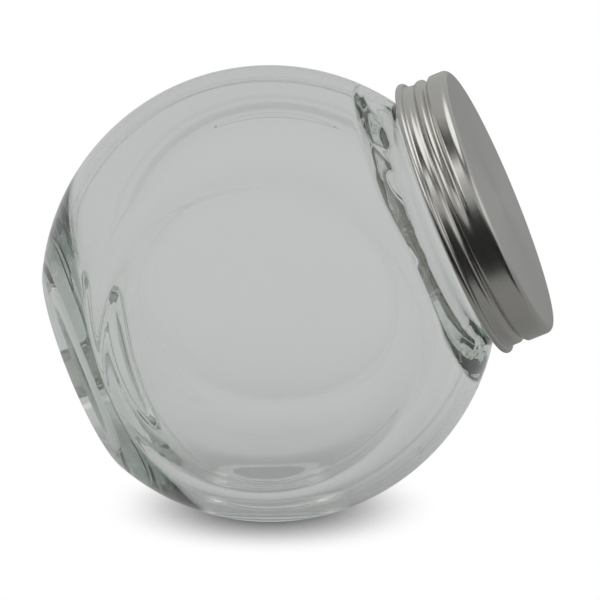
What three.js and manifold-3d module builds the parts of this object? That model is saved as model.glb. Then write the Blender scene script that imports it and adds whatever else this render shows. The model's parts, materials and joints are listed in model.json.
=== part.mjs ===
// A slanted glass storage jar with a pressed screw lid. The body is a sphere with two flat side
// panels, a flat base opposite the mouth, and a small tilt foot on which it stands here. The jar is
// modelled upright about its own axis, with the sphere's centre as origin, and is then leaned over
// on its foot: +Z is up, the mouth points along +X and up, and the origin is the foot's centre.

import * as THREE from 'three';
import { mergeVertices } from 'three/addons/utils/BufferGeometryUtils.js';
import Module from 'manifold-3d';

const wasm = await Module();
wasm.setup();

// ---- Driving dimensions: millimetres, and degrees where the name says so ----

// Glass body
const BODY_RADIUS = 87;
const WALL = 4;
const PANEL_RADIUS = 59.8; // circle that each flat side panel cuts in the sphere
const PANEL_WALL = 4.2;
const BASE_RADIUS = 40.5; // circle that the flat base cuts in the sphere
const BASE_THICKNESS = 8.5;
const BEARING_WIDTH = 7.5; // ring on which the jar stands when it is upright
const BASE_RECESS_DEPTH = 1.5;
const FOOT_RADIUS = 21; // circle that the tilt foot cuts in the sphere
const FOOT_WALL = 4.6;
const AXIS_ELEVATION_DEG = 23.4; // of the jar's axis, when it stands on its tilt foot

// Glass neck and its screw finish
const NECK_RADIUS = 48.5;
const NECK_WALL = 3.5;
const NECK_SHOWN = 3; // bare neck between the shoulder and the lid
const SHOULDER_FILLET = 1.8;
const FINISH_STEP = 2.4; // from the neck out to the foot of the thread
const RIM_CHAMFER = 1.2;
const THREAD_PITCH = 5.08;
const THREAD_HEIGHT = 1.6;
const THREAD_HALF_WIDTH = 1.6;
const THREAD_TURNS = 1.25;

// Lid, pressed from one sheet, and the liner inside it
const SHEET = 0.45;
const LID_HEIGHT = 20.3;
const LID_EDGE_RADIUS = 2.5;
const CURL_HEIGHT = 2.8;
const CURL_OVERHANG = 1.4; // of the rolled curl, beyond the skirt
const GROOVE_DEPTH = 1.7;
const GROOVE_HALF_WIDTH = 1.5;
const GROOVE_TURNS = 1.33;
const GROOVE_START_HEIGHT = 6; // above the lid's lower edge
const GROOVE_START_DEG = 152; // about the jar's axis, from its lowest side
const LINER_THICKNESS = 1.5;

// Clearances
const SEAT_GAP = 0.3; // glass rim to liner, and liner to lid
const THREAD_CLEARANCE = 0.65; // crest of the glass thread to the lid's skirt
const LINER_CLEARANCE = 0.3; // liner's edge to where the lid's edge starts to curve

// Fineness of the faceted surfaces
const SEGMENTS = 48;
const BODY_ARC_STEP_DEG = 7;
const THREAD_ROW = 1.1;
const THREAD_FADE_DEG = 35; // over which a thread runs out at each end

// ---- Places that follow from them, along the jar's axis from the sphere's centre ----

const chordDistance = (circleRadius) => Math.sqrt(BODY_RADIUS ** 2 - circleRadius ** 2);
const panelDistance = chordDistance(PANEL_RADIUS);
const baseDistance = chordDistance(BASE_RADIUS);
const footDistance = chordDistance(FOOT_RADIUS);
const shoulderHeight = chordDistance(NECK_RADIUS);
const boreRadius = NECK_RADIUS - NECK_WALL;
const finishRadius = NECK_RADIUS + FINISH_STEP;
const lidBottom = shoulderHeight + NECK_SHOWN;
const lidTop = lidBottom + LID_HEIGHT;
const linerTop = lidTop - SHEET - SEAT_GAP;
const linerBottom = linerTop - LINER_THICKNESS;
const rimHeight = linerBottom - SEAT_GAP;
const skirtInside = finishRadius + THREAD_HEIGHT + THREAD_CLEARANCE;
const skirtOutside = skirtInside + SHEET;
const lean = THREE.MathUtils.degToRad(90 - AXIS_ELEVATION_DEG);

// ---- Materials ----

const glass = new THREE.MeshStandardMaterial({
  color: 0xdfe8e3, roughness: 0.05, metalness: 0, transparent: true, opacity: 0.35,
});
const stainless = new THREE.MeshStandardMaterial({ color: 0xa9a8a2, roughness: 0.32, metalness: 1 });
const foam = new THREE.MeshStandardMaterial({ color: 0xe9e9e4, roughness: 0.85, metalness: 0 });

// ---- Shape helpers ----

// A closed outline of [radius, height] points, turned about +Z.
function turned(outline) {
  const points = outline.map(([radius, height]) => new THREE.Vector2(radius, height));
  return new THREE.LatheGeometry(points, SEGMENTS).rotateX(Math.PI / 2);
}

// Points along an arc about [centreRadius, centreHeight]; angles count up from the level.
function arc(centreRadius, centreHeight, radius, fromDeg, toDeg, steps) {
  const points = [];
  for (let i = 0; i <= steps; i += 1) {
    const angle = THREE.MathUtils.degToRad(THREE.MathUtils.lerp(fromDeg, toDeg, i / steps));
    points.push([centreRadius + radius * Math.cos(angle), centreHeight + radius * Math.sin(angle)]);
  }
  return points;
}

// Evenly spaced points up or down a straight wall, without its two ends.
function wallRows(radius, fromHeight, toHeight) {
  const count = Math.ceil(Math.abs(toHeight - fromHeight) / THREAD_ROW);
  const rows = [];
  for (let i = 1; i < count; i += 1) {
    rows.push([radius, THREE.MathUtils.lerp(fromHeight, toHeight, i / count)]);
  }
  return rows;
}

// How much of a right-hand thread stands at this angle and height, from 0 to 1. The thread's
// centre line is at startHeight where it begins, startDeg round from +X.
function threadShare(angleDeg, height, thread) {
  let share = 0;
  const lengthDeg = thread.turns * 360;
  for (let along = ((angleDeg - thread.startDeg) % 360 + 360) % 360; along < lengthDeg; along += 360) {
    const off = height - thread.startHeight - THREAD_PITCH * along / 360;
    const runOut = THREE.MathUtils.smoothstep(Math.min(along, lengthDeg - along), 0, THREAD_FADE_DEG);
    if (Math.abs(off) < thread.halfWidth) {
      share = Math.max(share, runOut * (1 + Math.cos(Math.PI * off / thread.halfWidth)) / 2);
    }
  }
  return share;
}

// Pushes the wall outward by depth along a thread, or inward where depth is negative.
function pressThread(geometry, thread, depth, minRadius) {
  const position = geometry.attributes.position;
  for (let i = 0; i < position.count; i += 1) {
    const x = position.getX(i);
    const y = position.getY(i);
    const radius = Math.hypot(x, y);
    if (radius > minRadius) {
      const angleDeg = THREE.MathUtils.radToDeg(Math.atan2(y, x));
      const grown = 1 + depth * threadShare(angleDeg, position.getZ(i), thread) / radius;
      position.setXY(i, x * grown, y * grown);
    }
  }
  return geometry;
}

function solidOf(geometry) {
  const bare = new THREE.BufferGeometry();
  bare.setAttribute('position', geometry.attributes.position);
  bare.setIndex(geometry.index);
  const merged = mergeVertices(bare, 1e-4);
  return new wasm.Manifold(new wasm.Mesh({
    numProp: 3,
    vertProperties: new Float32Array(merged.attributes.position.array),
    triVerts: new Uint32Array(merged.index.array),
  }));
}

function geometryOf(solid) {
  const mesh = solid.getMesh();
  const geometry = new THREE.BufferGeometry();
  geometry.setAttribute('position', new THREE.BufferAttribute(mesh.vertProperties, 3));
  geometry.setIndex(new THREE.BufferAttribute(mesh.triVerts, 1));
  geometry.computeVertexNormals();
  return geometry;
}

// Everything within the two side panels, above the base and on the near side of the tilt foot,
// each taken in by its wall.
function bodyLimits(panelWall, baseWall, footWall) {
  const far = 3 * BODY_RADIUS;
  const halfDepth = panelDistance - panelWall;
  const slab = new THREE.BoxGeometry(far, 2 * halfDepth, far);
  slab.translate(0, 0, far / 2 - baseDistance + baseWall);
  const footSide = new THREE.BoxGeometry(far, far, far);
  footSide.translate(0, 0, far / 2 - footDistance + footWall);
  footSide.rotateY(-lean);
  return solidOf(slab).intersect(solidOf(footSide));
}

// ---- The glass jar ----

const glassThread = {
  startDeg: GROOVE_START_DEG,
  startHeight: lidBottom + GROOVE_START_HEIGHT + THREAD_PITCH / 2,
  halfWidth: THREAD_HALF_WIDTH,
  turns: THREAD_TURNS,
};

function makeJar() {
  const arcSteps = Math.ceil(150 / BODY_ARC_STEP_DEG);
  const shoulderDeg = THREE.MathUtils.radToDeg(Math.asin((shoulderHeight - SHOULDER_FILLET) / BODY_RADIUS));
  const body = turned([
    ...arc(0, 0, BODY_RADIUS, -90, shoulderDeg, arcSteps),
    [0, shoulderHeight - SHOULDER_FILLET],
  ]);
  const neckFoot = shoulderHeight - 2 * SHOULDER_FILLET;
  const finishFoot = lidBottom + CURL_HEIGHT;
  const neck = pressThread(turned([
    [0, neckFoot],
    [NECK_RADIUS, neckFoot],
    [NECK_RADIUS, finishFoot],
    [finishRadius, finishFoot + FINISH_STEP / 2],
    ...wallRows(finishRadius, finishFoot + FINISH_STEP / 2, rimHeight - RIM_CHAMFER),
    [finishRadius, rimHeight - RIM_CHAMFER],
    [finishRadius - RIM_CHAMFER, rimHeight],
    [0, rimHeight],
  ]), glassThread, THREAD_HEIGHT, NECK_RADIUS + FINISH_STEP / 2);

  const innerRadius = BODY_RADIUS - WALL;
  const boreDeg = THREE.MathUtils.radToDeg(Math.acos(boreRadius / innerRadius));
  const boreFoot = innerRadius * Math.sin(THREE.MathUtils.degToRad(boreDeg));
  const hollow = turned([
    ...arc(0, 0, innerRadius, -90, boreDeg, arcSteps),
    [0, boreFoot],
  ]);
  const bore = turned([
    [0, boreFoot - WALL],
    [boreRadius, boreFoot - WALL],
    [boreRadius, rimHeight - RIM_CHAMFER],
    [boreRadius + RIM_CHAMFER, rimHeight],
    [boreRadius + RIM_CHAMFER, rimHeight + WALL],
    [0, rimHeight + WALL],
  ]);
  const recess = new THREE.CylinderGeometry(
    BASE_RADIUS - BEARING_WIDTH, BASE_RADIUS - BEARING_WIDTH, 2 * BASE_RECESS_DEPTH, SEGMENTS,
  ).rotateX(Math.PI / 2).translate(0, 0, -baseDistance);

  return geometryOf(solidOf(body).intersect(bodyLimits(0, 0, 0))
    .add(solidOf(neck))
    .subtract(solidOf(hollow).intersect(bodyLimits(PANEL_WALL, BASE_THICKNESS, FOOT_WALL)))
    .subtract(solidOf(bore))
    .subtract(solidOf(recess)));
}

// ---- The lid ----

// One sheet: flat top, rounded edge, straight skirt with the screw groove pressed into it, and a
// curl rolled outward at the lower edge.
const lidGroove = {
  startDeg: GROOVE_START_DEG,
  startHeight: lidBottom + GROOVE_START_HEIGHT,
  halfWidth: GROOVE_HALF_WIDTH,
  turns: GROOVE_TURNS,
};

function makeLidShell() {
  const curlRadius = skirtOutside + CURL_OVERHANG;
  const curlHalf = CURL_HEIGHT / 2;
  const edgeSteps = 4;
  const edgeCentre = lidTop - LID_EDGE_RADIUS;
  const outline = [
    [0, lidTop - SHEET],
    ...arc(skirtOutside - LID_EDGE_RADIUS, edgeCentre, LID_EDGE_RADIUS - SHEET, 90, 0, edgeSteps),
    ...wallRows(skirtInside, edgeCentre, lidBottom + curlHalf),
    [skirtInside, lidBottom + curlHalf],
    [skirtInside + SHEET, lidBottom],
    ...arc(curlRadius - curlHalf, lidBottom + curlHalf, curlHalf, -80, 80, 6),
    [skirtOutside, lidBottom + CURL_HEIGHT],
    ...wallRows(skirtOutside, lidBottom + CURL_HEIGHT, edgeCentre),
    ...arc(skirtOutside - LID_EDGE_RADIUS, edgeCentre, LID_EDGE_RADIUS, 0, 90, edgeSteps),
    [0, lidTop],
  ];
  return geometryOf(solidOf(pressThread(turned(outline), lidGroove, -GROOVE_DEPTH, skirtInside - SHEET)));
}

function makeLiner() {
  const radius = skirtOutside - LID_EDGE_RADIUS - LINER_CLEARANCE;
  return geometryOf(solidOf(turned([
    [0, linerBottom],
    [radius, linerBottom],
    [radius, linerTop],
    [0, linerTop],
  ])));
}

// ---- Assembly ----

function named(name, geometry, material) {
  const mesh = new THREE.Mesh(geometry, material);
  mesh.name = name;
  return mesh;
}

const jar = new THREE.Group();
jar.rotation.y = lean;
jar.position.z = footDistance;
jar.add(
  named('glass_jar', makeJar(), glass),
  named('lid_shell', makeLidShell(), stainless),
  named('lid_liner', makeLiner(), foam),
);

const assembly = new THREE.Group();
assembly.add(jar);

export default assembly;
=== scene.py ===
"""A slanted glass jar with a brushed steel screw lid, standing on its tilt foot on a pale floor."""

import json
import math

import bpy
from mathutils import Matrix, Vector, noise


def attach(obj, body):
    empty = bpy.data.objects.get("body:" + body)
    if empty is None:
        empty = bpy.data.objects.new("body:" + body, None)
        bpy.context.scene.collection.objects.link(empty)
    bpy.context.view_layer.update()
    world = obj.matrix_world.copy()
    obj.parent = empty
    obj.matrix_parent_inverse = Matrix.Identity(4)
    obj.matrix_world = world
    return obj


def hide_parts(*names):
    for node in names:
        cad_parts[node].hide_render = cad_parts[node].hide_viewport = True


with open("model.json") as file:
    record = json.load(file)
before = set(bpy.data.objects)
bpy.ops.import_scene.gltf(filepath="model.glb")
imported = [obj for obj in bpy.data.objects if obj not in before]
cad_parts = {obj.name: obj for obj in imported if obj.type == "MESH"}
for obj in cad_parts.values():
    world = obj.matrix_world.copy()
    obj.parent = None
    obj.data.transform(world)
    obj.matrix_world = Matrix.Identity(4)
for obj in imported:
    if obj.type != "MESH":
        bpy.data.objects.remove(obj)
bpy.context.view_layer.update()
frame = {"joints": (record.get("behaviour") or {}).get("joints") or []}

# ---- Glass jar ----
# The real one is blown in a mould from clear soda-lime glass: a sphere with two flat side panels,
# a flat base opposite the mouth, a small tilt foot, and a short neck whose screw finish takes the
# lid. It is one piece of glass about 4 mm thick, and twice that in the base.

MM = 0.001
BODY_RADIUS = 87.0
WALL = 4.0
PANEL_RADIUS = 59.8
PANEL_WALL = 4.2
PANEL_SOFTNESS = 1.0
INNER_PANEL_SOFTNESS = 10.0
INNER_PANEL_SWAY = 0.25
SWAY_PER_MM = 0.03
BASE_RADIUS = 40.5
BASE_THICKNESS = 8.5
HEEL_RADIUS = 8.0
INNER_BASE_SOFTNESS = 19.0
RECESS_RADIUS = 33.5
RECESS_DEPTH = 2.0
KNURLS = 96
KNURL_DEPTH = 0.08
KNURL_WIDTH = 5.0
FOOT_RADIUS = 21.0
FOOT_WALL = 4.6
FOOT_SOFTNESS = 0.8
INNER_FOOT_SOFTNESS = 5.0
SHOULDER_RING_TOP = 69.0
SHOULDER_RING_CORNER = 65.6
SHOULDER_RING_CREST = ((48.0, 64.25), (54.0, 61.55))
SHOULDER_RING_HEEL = (57.4, 60.0)
SHOULDER_RING_END = (59.0, 58.4)
SHOULDER_RING_SIDE = -62.0
SHOULDER_RING_LEAST = 0.1
SHOULDER_RING_SWELL = 1.1
SHOULDER_RING_UNEVENNESS = 0.5
UNEVENNESS_PER_MM = 0.09
NECK_RADIUS = 48.5
NECK_WALL = 3.5
NECK_SHOWN = 3.0
SHOULDER_FILLET = 3.0
FINISH_STEP = 2.4
FINISH_START = 2.0
RIM_FILLET = 1.4
RIM_HEIGHT = 92.97
THREAD_PITCH = 5.08
THREAD_HEIGHT = 1.6
THREAD_HALF_WIDTH = 1.6
THREAD_TURNS = 1.25
THREAD_FADE = 35.0
THREAD_START = 152.0
LID_GROOVE_START = 6.0
GLASS_STEPS = 384

screw = next(joint for joint in frame["joints"] if joint["name"] == "lid_turn")
jar_axis = Vector(screw["axis"]).normalized()
across = Vector((0.0, 1.0, 0.0))
downhill = across.cross(jar_axis).normalized()
jar_turn = Matrix((downhill, across, jar_axis)).transposed()
jar_to_frame = Matrix.Translation(Vector(screw["pos_m"])) @ jar_turn.to_4x4()
foot_direction = jar_turn.inverted() @ Vector((0.0, 0.0, -1.0))


def chord_distance(circle_radius):
    """How far from the sphere's centre a flat lies that cuts this circle in it."""
    return math.sqrt(BODY_RADIUS**2 - circle_radius**2)


def arc(centre, radius, start, end, steps):
    """Points along an arc in the radius-height plane; angles in degrees from level."""
    points = []
    for i in range(steps + 1):
        angle = math.radians(start + (end - start) * i / steps)
        points.append((centre[0] + radius * math.cos(angle), centre[1] + radius * math.sin(angle)))
    return points


def straight(start, end, steps):
    """Points along a straight line, with its two ends."""
    return [
        (start[0] + (end[0] - start[0]) * i / steps, start[1] + (end[1] - start[1]) * i / steps)
        for i in range(steps + 1)
    ]


def bend(start, corner, end, steps):
    """Points along a smooth bend from start to end that rounds off the corner."""
    points = []
    for i in range(steps + 1):
        share = i / steps
        weights = ((1 - share) ** 2, 2 * share * (1 - share), share**2)
        points.append(tuple(
            sum(weight * point[k] for weight, point in zip(weights, (start, corner, end)))
            for k in (0, 1)
        ))
    return points


def turned_piece(name, outline, steps):
    """Draws an outline of radius-height points in millimetres and spins it about Z."""
    points = [outline[0]]
    for point in outline[1:]:
        if math.dist(point, points[-1]) > 1e-4:
            points.append(point)
    bpy.ops.object.select_all(action="DESELECT")
    bpy.ops.mesh.primitive_plane_add(size=MM)
    piece = bpy.context.object
    piece.name = name
    bpy.ops.object.mode_set(mode="EDIT")
    bpy.ops.mesh.merge(type="CENTER")
    bpy.ops.transform.translate(value=(points[0][0] * MM, 0, points[0][1] * MM))
    for last, point in zip(points, points[1:]):
        move = ((point[0] - last[0]) * MM, 0, (point[1] - last[1]) * MM)
        bpy.ops.mesh.extrude_region_move(TRANSFORM_OT_translate={"value": move})
    bpy.ops.mesh.select_all(action="SELECT")
    bpy.ops.mesh.spin(steps=steps, angle=2 * math.pi, center=(0, 0, 0), axis=(0, 0, 1))
    bpy.ops.mesh.select_all(action="SELECT")
    bpy.ops.mesh.remove_doubles(threshold=0.002 * MM)
    bpy.ops.mesh.normals_make_consistent(inside=False)
    bpy.ops.object.mode_set(mode="OBJECT")
    bpy.ops.object.shade_smooth()
    return piece


def lean_over(piece):
    """Takes a piece from the jar's own upright frame to its place on the tilt foot."""
    piece.data.transform(jar_to_frame)
    piece.data.update()


def thread_share(x, y, height, start_height, half_width, turns):
    """How much of the right-hand thread stands at this place, from 0 to 1."""
    share = 0.0
    length = turns * 360
    along = (math.degrees(math.atan2(y, x)) - THREAD_START) % 360
    while along < length:
        off = height - start_height - THREAD_PITCH * along / 360
        if abs(off) < half_width:
            end = min(1.0, min(along, length - along) / THREAD_FADE)
            run_out = end * end * (3 - 2 * end)
            share = max(share, run_out * (1 + math.cos(math.pi * off / half_width)) / 2)
        along += 360
    return share


def soft_limit(distance, limit, softness):
    """The smaller of the two, rounded where they meet."""
    overlap = max(softness - abs(distance - limit), 0.0) / softness
    return min(distance, limit) - overlap * overlap * softness / 4


base_height = -chord_distance(BASE_RADIUS)
inner_base = base_height + BASE_THICKNESS
inner_radius = BODY_RADIUS - WALL
bore_radius = NECK_RADIUS - NECK_WALL
finish_radius = NECK_RADIUS + FINISH_STEP
lid_bottom = chord_distance(NECK_RADIUS) + NECK_SHOWN

heel_centre = (
    math.sqrt((BODY_RADIUS - HEEL_RADIUS) ** 2 - (base_height + HEEL_RADIUS) ** 2),
    base_height + HEEL_RADIUS,
)
heel_end = math.degrees(math.atan2(heel_centre[1], heel_centre[0]))
shoulder_centre = (
    NECK_RADIUS + SHOULDER_FILLET,
    math.sqrt((BODY_RADIUS + SHOULDER_FILLET) ** 2 - (NECK_RADIUS + SHOULDER_FILLET) ** 2),
)
shoulder_start = math.degrees(math.atan2(shoulder_centre[1], shoulder_centre[0]))
finish_foot = lid_bottom + FINISH_START
rim_round = RIM_HEIGHT - RIM_FILLET
inner_start = math.degrees(math.atan2(SHOULDER_RING_END[1], SHOULDER_RING_END[0])) - 1

glass_outline = (
    [
        (
            RECESS_RADIUS * share,
            base_height + RECESS_DEPTH * (1 + math.cos(math.pi * share)) / 2,
        )
        for share in (i / 16 for i in range(16))
    ]
    + straight((RECESS_RADIUS, base_height), (heel_centre[0], base_height), 9)
    + arc(heel_centre, HEEL_RADIUS, -90, heel_end, 7)
    + arc((0, 0), BODY_RADIUS, heel_end, shoulder_start, 74)
    + arc(shoulder_centre, SHOULDER_FILLET, shoulder_start - 180, -180, 7)
    + straight((NECK_RADIUS, shoulder_centre[1]), (NECK_RADIUS, finish_foot), 5)
    + arc((NECK_RADIUS + FINISH_STEP / 2, finish_foot), FINISH_STEP / 2, 180, 90, 3)[1:]
    + straight((finish_radius, finish_foot + FINISH_STEP / 2), (finish_radius, rim_round), 26)
    + arc((finish_radius - RIM_FILLET, rim_round), RIM_FILLET, 0, 90, 5)
    + arc((bore_radius + RIM_FILLET, rim_round), RIM_FILLET, 90, 180, 5)
    + straight((bore_radius, rim_round), (bore_radius, SHOULDER_RING_TOP), 10)
    + bend(
        (bore_radius, SHOULDER_RING_TOP), (bore_radius, SHOULDER_RING_CORNER),
        SHOULDER_RING_CREST[0], 6,
    )
    + bend(SHOULDER_RING_CREST[1], SHOULDER_RING_HEEL, SHOULDER_RING_END, 6)
    + arc((0, 0), inner_radius, inner_start, -90, 74)[:-1]
    + [(0.0, -inner_radius)]
)

glass = turned_piece("jar_glass", glass_outline, GLASS_STEPS)
under_base = {
    vertex.index for vertex in glass.data.vertices
    if vertex.co.z < (base_height + RECESS_DEPTH + 0.1) * MM
    and vertex.co.length < (inner_radius - 0.5) * MM
}
inner_side = {
    vertex.index for vertex in glass.data.vertices
    if vertex.co.length < (BODY_RADIUS - WALL / 2) * MM and vertex.index not in under_base
}

panel_distance = chord_distance(PANEL_RADIUS)
foot_distance = chord_distance(FOOT_RADIUS)
thread_start_height = lid_bottom + LID_GROOVE_START + THREAD_PITCH / 2
for vertex in glass.data.vertices:
    place = vertex.co / MM
    if vertex.index in inner_side:
        on_ring = SHOULDER_RING_HEEL[1] < place.z < SHOULDER_RING_TOP + 0.5
        if on_ring and place.length < inner_radius:
            turn = math.atan2(place.y, place.x) - math.radians(SHOULDER_RING_SIDE)
            ring = SHOULDER_RING_LEAST + SHOULDER_RING_SWELL * (1 + math.cos(turn)) / 2
            ring += SHOULDER_RING_UNEVENNESS * noise.noise(place * UNEVENNESS_PER_MM)
            place += (1 - min(1.0, ring)) * (inner_radius / place.length - 1) * place
        place.z = -soft_limit(-place.z, -inner_base, INNER_BASE_SOFTNESS)
        sway = noise.noise(place * SWAY_PER_MM) * INNER_PANEL_SWAY
        panel, softness = panel_distance - PANEL_WALL + sway, INNER_PANEL_SOFTNESS
        foot, foot_softness = foot_distance - FOOT_WALL, INNER_FOOT_SOFTNESS
    else:
        panel, softness = panel_distance, PANEL_SOFTNESS
        foot, foot_softness = foot_distance, FOOT_SOFTNESS
    place.y = math.copysign(soft_limit(abs(place.y), panel, softness), place.y)
    reach = place.dot(foot_direction)
    place += (soft_limit(reach, foot, foot_softness) - reach) * foot_direction
    around = math.hypot(place.x, place.y)
    if around > NECK_RADIUS + FINISH_STEP / 2 and place.z > lid_bottom:
        share = thread_share(
            place.x, place.y, place.z, thread_start_height, THREAD_HALF_WIDTH, THREAD_TURNS
        )
        place.xy *= 1 + THREAD_HEIGHT * share / around
    if place.z < base_height + 0.3 and RECESS_RADIUS < around < RECESS_RADIUS + KNURL_WIDTH:
        turn = math.atan2(place.y, place.x)
        across_ring = math.sin(math.pi * (around - RECESS_RADIUS) / KNURL_WIDTH)
        place.z += KNURL_DEPTH * across_ring * (1 - math.cos(KNURLS * turn)) / 2
    vertex.co = place * MM
lean_over(glass)


def add_node(tree, kind, settings=None, **inputs):
    """Adds a node; settings are its properties, and inputs are values or sockets by name."""
    node = tree.nodes.new(kind)
    for key, value in (settings or {}).items():
        setattr(node, key, value)
    for key, value in inputs.items():
        socket = node.inputs[int(key[1:])] if key[0] == "_" else node.inputs[key.replace("_", " ")]
        if isinstance(value, bpy.types.NodeSocket):
            tree.links.new(value, socket)
        else:
            socket.default_value = value
    return node


def linear(hex_colour):
    """An sRGB hex colour as linear RGBA."""
    parts = [int(hex_colour[i : i + 2], 16) / 255 for i in (1, 3, 5)]
    return tuple(
        part / 12.92 if part <= 0.04045 else ((part + 0.055) / 1.055) ** 2.4 for part in parts
    ) + (1.0,)


# Soda-lime glass, fire-polished: clear where it is thin, faintly green where it is thick.
soda_lime = bpy.data.materials.new("clear_soda_lime_glass")
soda_lime.use_nodes = True
tree = soda_lime.node_tree
tree.nodes.clear()
surface = add_node(
    tree, "ShaderNodeBsdfPrincipled",
    Base_Color=(1, 1, 1, 1), Roughness=0.0, IOR=1.52, Transmission_Weight=1.0,
)
body_tint = add_node(tree, "ShaderNodeVolumeAbsorption", Color=linear("#c9d3cb"), Density=30.0)
add_node(
    tree, "ShaderNodeOutputMaterial",
    Surface=surface.outputs[0], Volume=body_tint.outputs[0],
)
glass.data.materials.append(soda_lime)
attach(glass, "jar")
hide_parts("glass_jar")

# ---- Lid shell ----
# Pressed from one sheet of stainless steel: the face is brushed in circles, the skirt has a screw
# groove rolled into it, and its lower edge is curled outward so that it isn't sharp.

SHEET = 0.45
LID_HEIGHT = 20.3
LID_EDGE_RADIUS = 2.5
CURL_HEIGHT = 2.8
SKIRT_RADIUS = 53.6
CURL_OVERHANG = 1.4
GROOVE_DEPTH = 1.7
GROOVE_HALF_WIDTH = 2.1
LOWER_WALL = 0.6
LOWER_BLEND = 1.6
GROOVE_TURNS = 1.33
WRAP_BACK = 20.0
LID_STEPS = 288

lid_top = lid_bottom + LID_HEIGHT
middle = SKIRT_RADIUS - SHEET / 2
curl_radius = (CURL_HEIGHT - SHEET) / 2
curl_centre = (SKIRT_RADIUS + CURL_OVERHANG - SHEET / 2 - curl_radius, lid_bottom + CURL_HEIGHT / 2)
edge_centre = (SKIRT_RADIUS - LID_EDGE_RADIUS, lid_top - LID_EDGE_RADIUS)
lid_outline = (
    straight((0.0, lid_top - SHEET / 2), (edge_centre[0], lid_top - SHEET / 2), 26)
    + arc(edge_centre, LID_EDGE_RADIUS - SHEET / 2, 90, 0, 8)
    + straight((middle, edge_centre[1]), (middle, curl_centre[1]), 44)
    + arc(curl_centre, curl_radius, 200, 500, 20)
)
lid = turned_piece("lid_steel", lid_outline, LID_STEPS)
for vertex in lid.data.vertices:
    place = vertex.co / MM
    around = math.hypot(place.x, place.y)
    if abs(around - middle) < 0.2 and place.z > lid_bottom + CURL_HEIGHT:
        share = thread_share(
            place.x, place.y, place.z, lid_bottom + LID_GROOVE_START,
            GROOVE_HALF_WIDTH, GROOVE_TURNS,
        )
        turn = (math.degrees(math.atan2(place.y, place.x)) - THREAD_START) % 360
        turn = min(turn, (360 - WRAP_BACK) * (360 - turn) / WRAP_BACK)
        edge = lid_bottom + LID_GROOVE_START + THREAD_PITCH * turn / 360
        lower = min(max((edge + LOWER_BLEND - place.z) / (2 * LOWER_BLEND), 0.0), 1.0)
        lower = lower * lower * (3 - 2 * lower)
        inward = GROOVE_DEPTH * share + LOWER_WALL * lower * (1 - share)
        place.xy *= 1 - inward / around
        vertex.co = place * MM


def wrap_uv(piece):
    """A map named turned: u goes once round the axis, v is the distance from it plus the height."""
    layer = piece.data.uv_layers.new(name="turned")
    for face in piece.data.polygons:
        corners = []
        for loop in face.loop_indices:
            place = piece.data.vertices[piece.data.loops[loop].vertex_index].co
            around = math.hypot(place.x, place.y)
            turn = None
            if around > 1e-6:
                turn = (math.atan2(place.y, place.x) / (2 * math.pi)) % 1.0
            corners.append((loop, turn, around - place.z))
        known = [turn for _, turn, _ in corners if turn is not None]
        wraps = max(known) - min(known) > 0.5
        known = [turn + 1 if wraps and turn < 0.5 else turn for turn in known]
        for loop, turn, along in corners:
            if turn is None:
                turn = sum(known) / len(known)
            elif wraps and turn < 0.5:
                turn += 1
            layer.data[loop].uv = (turn, along)


wrap_uv(lid)
bpy.ops.object.select_all(action="DESELECT")
lid.select_set(True)
bpy.context.view_layer.objects.active = lid
sheet = lid.modifiers.new("sheet", "SOLIDIFY")
sheet.thickness = SHEET * MM
sheet.offset = 0.0
sheet.use_even_offset = True
bpy.ops.object.modifier_apply(modifier="sheet")
lean_over(lid)

# Brushed stainless steel: fine rings left by the brush blur its mirror shine along one way.
steel = bpy.data.materials.new("brushed_stainless_steel")
steel.use_nodes = True
tree = steel.node_tree
tree.nodes.clear()
uv = add_node(tree, "ShaderNodeUVMap", {"uv_map": "turned"})
rings = add_node(tree, "ShaderNodeMapping", Vector=uv.outputs[0], Scale=(7.0, 3200.0, 1.0))
brush = add_node(
    tree, "ShaderNodeTexNoise", {"noise_dimensions": "2D"},
    Vector=rings.outputs[0], Scale=1.0, Detail=4.0, Roughness=0.6,
)
rough = add_node(
    tree, "ShaderNodeMapRange", Value=brush.outputs["Fac"], To_Min=0.16, To_Max=0.26,
)
height = add_node(
    tree, "ShaderNodeBump", Strength=0.25, Distance=0.00002, Height=brush.outputs["Fac"],
)
around_axis = add_node(tree, "ShaderNodeTangent", {"direction_type": "UV_MAP", "uv_map": "turned"})
metal = add_node(
    tree, "ShaderNodeBsdfPrincipled",
    Base_Color=linear("#c2c0bb"), Metallic=1.0, Roughness=rough.outputs[0], Anisotropic=0.75,
    Tangent=around_axis.outputs[0], Normal=height.outputs[0],
)
add_node(tree, "ShaderNodeOutputMaterial", Surface=metal.outputs[0])
lid.data.materials.append(steel)
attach(lid, "lid")
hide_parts("lid_shell")

# ---- Lid liner ----
# A disc of white closed-cell polyethylene foam, punched from sheet. It lies loose under the lid's
# top, and seals on the glass rim, which leaves a shallow print in it.

LINER_THICKNESS = 1.5
SEAT_GAP = 0.3
LINER_CLEARANCE = 0.3
LINER_ROUND = 0.25
RIM_PRINT = 0.15
RIM_PRINT_WIDTH = 5.2

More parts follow.
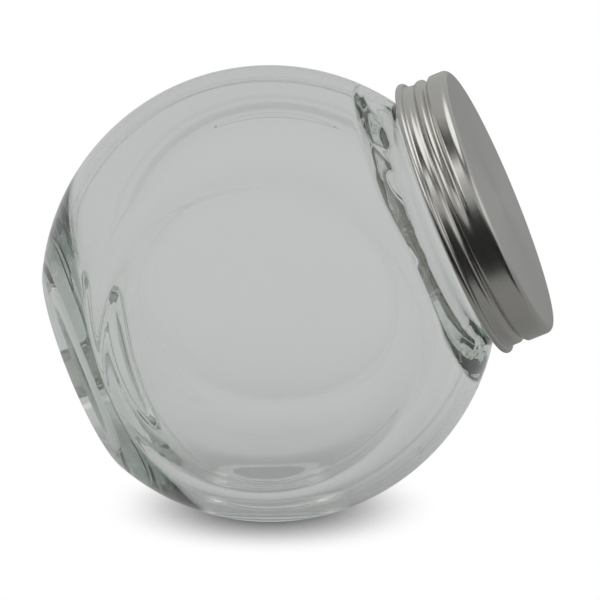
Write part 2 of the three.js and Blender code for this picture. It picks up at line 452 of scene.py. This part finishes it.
liner_top = lid_top - SHEET - SEAT_GAP
liner_bottom = liner_top - LINER_THICKNESS
liner_radius = SKIRT_RADIUS - LID_EDGE_RADIUS - LINER_CLEARANCE
print_middle = (bore_radius + finish_radius) / 2
liner_outline = (
    straight((0.0, liner_top), (liner_radius - LINER_ROUND, liner_top), 8)
    + arc((liner_radius - LINER_ROUND, liner_top - LINER_ROUND), LINER_ROUND, 90, 0, 3)
    + arc((liner_radius - LINER_ROUND, liner_bottom + LINER_ROUND), LINER_ROUND, 0, -90, 3)
    + [
        (
            print_middle + RIM_PRINT_WIDTH * (0.5 - i / 8),
            liner_bottom + RIM_PRINT * (1 - math.cos(2 * math.pi * i / 8)) / 2,
        )
        for i in range(9)
    ]
    + straight((print_middle - RIM_PRINT_WIDTH / 2 - 0.6, liner_bottom), (0.0, liner_bottom), 8)
)
liner = turned_piece("lid_liner_foam", liner_outline, 128)
lean_over(liner)

# Polyethylene foam: matt white with fine closed cells about 0.4 mm across. Cycles brings almost no
# light to it through the glass, so a weak glow stands in for that light.
FOAM_GLOW = 0.2
foam = bpy.data.materials.new("white_polyethylene_foam")
foam.use_nodes = True
tree = foam.node_tree
tree.nodes.clear()
coordinates = add_node(tree, "ShaderNodeTexCoord")
cells = add_node(tree, "ShaderNodeTexVoronoi", Vector=coordinates.outputs["Object"], Scale=2400.0)
shade = add_node(
    tree, "ShaderNodeMix", {"data_type": "RGBA"},
    Factor=cells.outputs["Distance"], _6=linear("#dcdcd6"), _7=linear("#f0f0ec"),
)
dimple = add_node(
    tree, "ShaderNodeBump", Strength=0.4, Distance=0.0001, Height=cells.outputs["Distance"],
)
matt = add_node(
    tree, "ShaderNodeBsdfPrincipled",
    Base_Color=shade.outputs[2], Roughness=0.75, Normal=dimple.outputs[0],
    Emission_Color=shade.outputs[2], Emission_Strength=FOAM_GLOW,
)
add_node(tree, "ShaderNodeOutputMaterial", Surface=matt.outputs[0])
liner.data.materials.append(foam)
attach(liner, "liner")
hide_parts("lid_liner")

# ---- Studio ----
# A white floor in a white room. The glass and the steel see pale grey paper all round instead,
# and each has its own cards, as when a jar and its lid are lit in turn.

PAPER_GREY = 0.575
ROOM_COLOUR = (0.985, 1.0, 0.995, 1)
PAPER_COLOUR = (0.345, 0.35, 0.349, 1)
PAPER_GLOW = 0.24
SHADOW_REACH = 0.021
SHADOW_SOFTNESS = 2.8
SHADOW_DEPTH = 0.9

scene = bpy.context.scene
scene.view_settings.view_transform = "Standard"
scene.cycles.max_bounces = 32
scene.cycles.glossy_bounces = 16
scene.cycles.transmission_bounces = 32

bpy.ops.object.select_all(action="DESELECT")
bpy.ops.mesh.primitive_plane_add(size=30.0)
floor = bpy.context.object
floor.name = "floor"
floor_paper = bpy.data.materials.new("white_floor")
floor_paper.use_nodes = True
tree = floor_paper.node_tree
tree.nodes.clear()
ray = add_node(tree, "ShaderNodeLightPath")
# Painted shadow: the floor glows white for the camera, and ambient occlusion darkens that glow near
# the jar into a contact shadow that no lamp casts.
nearness = add_node(tree, "ShaderNodeAmbientOcclusion", {"samples": 16}, Distance=SHADOW_REACH)
near_part = add_node(
    tree, "ShaderNodeMath", {"operation": "SUBTRACT"}, _0=1.0, _1=nearness.outputs["AO"],
)
painted_shadow = add_node(
    tree, "ShaderNodeMath", {"operation": "POWER"}, _0=near_part.outputs[0], _1=SHADOW_SOFTNESS,
)
shade = add_node(
    tree, "ShaderNodeMath", {"operation": "MULTIPLY_ADD"},
    _0=painted_shadow.outputs[0], _1=-SHADOW_DEPTH, _2=1.0,
)
white = add_node(tree, "ShaderNodeEmission", Color=(1, 1, 1, 1), Strength=shade.outputs[0])
grey = add_node(tree, "ShaderNodeBsdfDiffuse", Color=PAPER_COLOUR)
bent_ray = add_node(
    tree, "ShaderNodeMath", {"operation": "MAXIMUM"},
    _0=ray.outputs["Is Glossy Ray"], _1=ray.outputs["Is Transmission Ray"],
)
seen = add_node(
    tree, "ShaderNodeMixShader",
    _0=bent_ray.outputs[0], _1=white.outputs[0], _2=grey.outputs[0],
)
add_node(tree, "ShaderNodeOutputMaterial", Surface=seen.outputs[0])
floor.data.materials.append(floor_paper)


def card(name, azimuth, elevation, brightness, see_through, lights):
    """A curved card round the jar, between two azimuths (0 is the camera's side, positive to the
    right) and two elevations. Only the named pieces see it glow."""
    bpy.ops.object.select_all(action="DESELECT")
    bpy.ops.mesh.primitive_grid_add(x_subdivisions=16, y_subdivisions=16, size=2.0)
    piece = bpy.context.object
    piece.name = name
    for vertex in piece.data.vertices:
        turn = math.radians(azimuth[0] + (azimuth[1] - azimuth[0]) * (vertex.co.x + 1) / 2)
        rise = math.radians(elevation[0] + (elevation[1] - elevation[0]) * (vertex.co.y + 1) / 2)
        away = CARD_DISTANCE
        if rise < 0:
            away = min(away, LID_MIDDLE.z / math.sin(-rise)) - 0.001
        level = away * math.cos(rise)
        vertex.co = LID_MIDDLE + Vector(
            (math.sin(turn) * level, -math.cos(turn) * level, away * math.sin(rise))
        )
    material = bpy.data.materials.new(name)
    material.use_nodes = True
    tree = material.node_tree
    tree.nodes.clear()
    surface = add_node(tree, "ShaderNodeEmission", Color=(1, 1, 1, 1), Strength=brightness)
    if see_through:
        clear = add_node(tree, "ShaderNodeBsdfTransparent")
        surface = add_node(tree, "ShaderNodeAddShader", _0=clear.outputs[0], _1=surface.outputs[0])
    add_node(tree, "ShaderNodeOutputMaterial", Surface=surface.outputs[0])
    piece.data.materials.append(material)
    piece.visible_camera = False
    piece.visible_diffuse = False
    piece.visible_shadow = False
    if lights:
        group = bpy.data.collections.new(name)
        for lit_piece in lights:
            group.objects.link(lit_piece)
        piece.light_linking.receiver_collection = group


CARD_DISTANCE = 1.5
LID_MIDDLE = jar_to_frame @ Vector((0, 0, (lid_bottom + LID_HEIGHT / 2) * MM))
card("overhead_softbox", (-180, 180), (62, 89), 1.0, True, (lid,))
card("left_softbox", (-75, -28), (14, 44), 1.0, True, (lid,))
card("right_softbox", (42, 92), (14, 44), 0.45, True, (lid,))
card("camera_side_gap", (-100, 100), (46, 60), PAPER_GREY, False, (glass, liner))
card("camera_side", (-60, 62), (-3, 13), PAPER_GREY, False, (glass, liner))
card("camera_side_floor", (-60, 62), (-36, 0), PAPER_GREY, False, (glass, liner))
card("floor_glow_near", (-60, 62), (-89, -36), PAPER_GLOW, True, (glass, liner))
card("floor_glow_behind", (62, 300), (-89, 0), PAPER_GLOW, True, (glass, liner))

world = bpy.data.worlds.new("studio")
scene.world = world
world.use_nodes = True
tree = world.node_tree
tree.nodes.clear()
ray = add_node(tree, "ShaderNodeLightPath")
room_light = add_node(tree, "ShaderNodeBackground", Color=ROOM_COLOUR, Strength=PAPER_GREY)
white_light = add_node(tree, "ShaderNodeBackground", Color=(1, 1, 1, 1), Strength=1.0)
bent_ray = add_node(
    tree, "ShaderNodeMath", {"operation": "MAXIMUM"},
    _0=ray.outputs["Is Glossy Ray"], _1=ray.outputs["Is Transmission Ray"],
)
sky = add_node(
    tree, "ShaderNodeMixShader",
    _0=bent_ray.outputs[0], _1=white_light.outputs[0], _2=room_light.outputs[0],
)
add_node(tree, "ShaderNodeOutputWorld", Surface=sky.outputs[0])

# ---- Camera ----
# A long lens a little above the jar, almost square to its front panel. It aims a little beside the
# middle of the jar's sphere, so that the jar and its lid sit together in the frame.

VIEW_AZIMUTH = 2.6
VIEW_ELEVATION = 15.3
VIEW_DISTANCE = 3.31
FRAME_WIDTH = 0.2286
SENSOR = 36.0
AIM_RIGHT = 0.01154
AIM_DOWN = 0.00248

azimuth = math.radians(VIEW_AZIMUTH)
elevation = math.radians(VIEW_ELEVATION)
to_camera = Vector((
    math.sin(azimuth) * math.cos(elevation),
    -math.cos(azimuth) * math.cos(elevation),
    math.sin(elevation),
))
turn = to_camera.to_track_quat("Z", "Y")
aim = Vector(screw["pos_m"]) + turn @ Vector((AIM_RIGHT, -AIM_DOWN, 0))
camera_data = bpy.data.cameras.new("camera")
camera = bpy.data.objects.new("camera", camera_data)
scene.collection.objects.link(camera)
camera.location = aim + to_camera * VIEW_DISTANCE
camera.rotation_euler = turn.to_euler()
camera_data.sensor_width = SENSOR
camera_data.lens = SENSOR * VIEW_DISTANCE / FRAME_WIDTH
camera_data.clip_end = 50.0
scene.camera = camera
